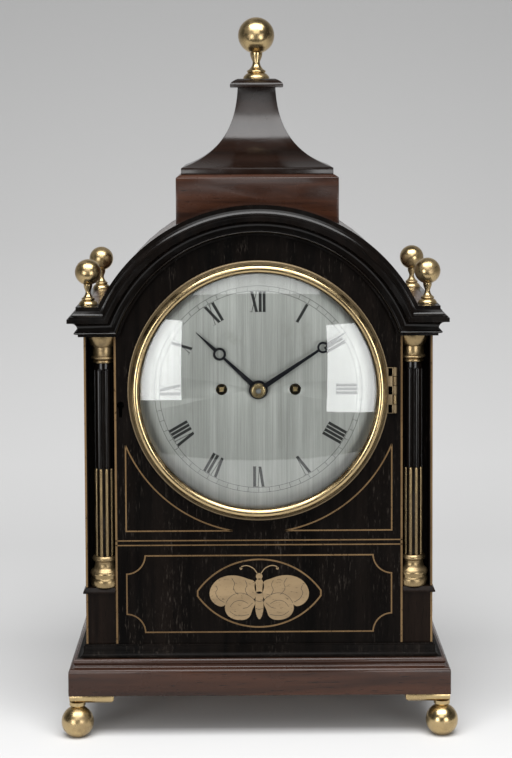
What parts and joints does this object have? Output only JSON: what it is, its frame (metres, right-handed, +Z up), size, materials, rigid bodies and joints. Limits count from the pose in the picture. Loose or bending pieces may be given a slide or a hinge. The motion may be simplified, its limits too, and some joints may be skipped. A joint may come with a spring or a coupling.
{
  "type": "bracket clock",
  "caption": "Arched bracket clock with fluted columns, bell-shaped top, ball finials and feet, round hinged bezel, glazed back door, fusee movement and pendulum.",
  "frame": {"origin": "on the shelf, under the middle of the four ball feet", "axes": "+Z up, +X to the right of someone facing the dial, -Y towards that person"},
  "size_m": [0.3232, 0.2204, 0.5877],
  "materials": {
    "ebonised_wood": "ebonised mahogany, french polished",
    "mahogany": "dark mahogany, french polished",
    "inner_wood": "unpolished oak and pine",
    "polished_brass": "turned, polished, a little aged",
    "movement_brass": "finely grained",
    "bell_metal": "turned bell metal",
    "silvered_dial": "silvered with a straight grain",
    "blued_steel": "blued to near black",
    "steel": "ground",
    "glass": "clear"
  },
  "bodies": {
    "case": {"foot_front_left": "polished_brass", "corner_plate_front_left": "polished_brass", "foot_front_right": "polished_brass", "corner_plate_front_right": "polished_brass", "foot_back_left": "polished_brass", "corner_plate_back_left": "polished_brass", "foot_back_right": "polished_brass", "corner_plate_back_right": "polished_brass", "plinth": "mahogany", "base_board": "inner_wood", "side_panel_left": "ebonised_wood", "side_panel_right": "ebonised_wood", "front_panel": "ebonised_wood", "pedestal_left": "ebonised_wood", "column_base_left": "polished_brass", "column_shaft_left": "ebonised_wood", "capital_left": "polished_brass", "pedestal_right": "ebonised_wood", "column_base_right": "polished_brass", "column_shaft_right": "ebonised_wood", "capital_right": "polished_brass", "roof": "mahogany", "front_cornice": "ebonised_wood", "side_cornice_left": "ebonised_wood", "side_cornice_right": "ebonised_wood", "roof_box": "mahogany", "bell_top": "mahogany", "top_finial": "polished_brass", "finial_front_left": "polished_brass", "finial_front_right": "polished_brass", "finial_back_left": "polished_brass", "finial_back_right": "polished_brass", "dial_plate": "silvered_dial", "bezel_hinge": "polished_brass", "movement_front_plate": "movement_brass", "movement_back_plate": "movement_brass", "seat_board": "inner_wood", "back_cock": "movement_brass", "bell": "bell_metal", "back_frame": "ebonised_wood"},
    "bezel": {"bezel": "polished_brass", "bezel_glass": "glass"},
    "lock_bolt": {"lock_bolt": "steel"},
    "minute_train": {"centre_arbor": "steel", "minute_hand": "blued_steel", "hand_collet": "polished_brass"},
    "hour_train": {"hour_wheel": "movement_brass", "hour_hand": "blued_steel"},
    "minute_wheel": {"minute_wheel": "movement_brass"},
    "going_fusee": {"going_fusee": "movement_brass"},
    "strike_fusee": {"strike_fusee": "movement_brass"},
    "going_barrel": {"going_barrel": "movement_brass"},
    "strike_barrel": {"strike_barrel": "movement_brass"},
    "escape_wheel": {"escape_wheel": "movement_brass"},
    "anchor": {"anchor": "steel"},
    "pendulum": {"pendulum": "movement_brass"},
    "hammer": {"hammer": "steel"},
    "back_door": {"back_door": "ebonised_wood", "back_door_glass": "glass", "back_door_knob": "polished_brass"}
  },
  "joints": [
    {"name": "bezel_swing", "type": "hinge", "parent": "case", "child": "bezel", "pos_m": [0.1106, -0.0922, 0.28203], "axis": [0, 0, 1], "range_deg": [0, 105]},
    {"name": "lock_bolt_slide", "type": "slide", "parent": "case", "child": "lock_bolt", "axis": [1, 0, 0], "range_m": [0, 0.0025]},
    {"name": "back_door_swing", "type": "hinge", "parent": "case", "child": "back_door", "pos_m": [0.0915, 0.0923, 0.21003], "axis": [0, 0, -1], "range_deg": [0, 110]},
    {"name": "minute_turn", "type": "hinge", "parent": "case", "child": "minute_train", "pos_m": [0, 0, 0.28203], "axis": [0, 1, 0], "continuous": true},
    {"name": "hour_turn", "type": "hinge", "parent": "case", "child": "hour_train", "pos_m": [0, 0, 0.28203], "axis": [0, 1, 0], "continuous": true},
    {"name": "minute_wheel_turn", "type": "hinge", "parent": "case", "child": "minute_wheel", "pos_m": [0, 0, 0.25803], "axis": [0, 1, 0], "continuous": true},
    {"name": "going_winding", "type": "hinge", "parent": "case", "child": "going_fusee", "pos_m": [0.03, 0, 0.28203], "axis": [0, 1, 0], "continuous": true},
    {"name": "strike_winding", "type": "hinge", "parent": "case", "child": "strike_fusee", "pos_m": [-0.03, 0, 0.28203], "axis": [0, 1, 0], "continuous": true},
    {"name": "going_barrel_turn", "type": "hinge", "parent": "case", "child": "going_barrel", "pos_m": [0.04, 0, 0.23203], "axis": [0, 1, 0], "continuous": true},
    {"name": "strike_barrel_turn", "type": "hinge", "parent": "case", "child": "strike_barrel", "pos_m": [-0.04, 0, 0.23203], "axis": [0, 1, 0], "continuous": true},
    {"name": "escape_turn", "type": "hinge", "parent": "case", "child": "escape_wheel", "pos_m": [0, 0, 0.30203], "axis": [0, 1, 0], "continuous": true},
    {"name": "pendulum_swing", "type": "hinge", "parent": "case", "child": "pendulum", "pos_m": [0, 0.015, 0.32603], "axis": [0, 1, 0], "range_deg": [-3.5, 3.5]},
    {"name": "anchor_rock", "type": "hinge", "parent": "case", "child": "anchor", "pos_m": [0, 0, 0.32603], "axis": [0, 1, 0], "range_deg": [-3.5, 3.5]},
    {"name": "hammer_lift", "type": "hinge", "parent": "case", "child": "hammer", "pos_m": [0.052, 0, 0.31803], "axis": [0, 1, 0], "range_deg": [0, 12]}
  ],
  "couplings": [
    {"joint": "hour_turn", "follows": "minute_turn", "ratio": 0.083333},
    {"joint": "minute_wheel_turn", "follows": "minute_turn", "ratio": -1},
    {"joint": "going_barrel_turn", "follows": "going_winding", "ratio": 0.66},
    {"joint": "strike_barrel_turn", "follows": "strike_winding", "ratio": 0.66},
    {"joint": "anchor_rock", "follows": "pendulum_swing", "ratio": 1}
  ]
}
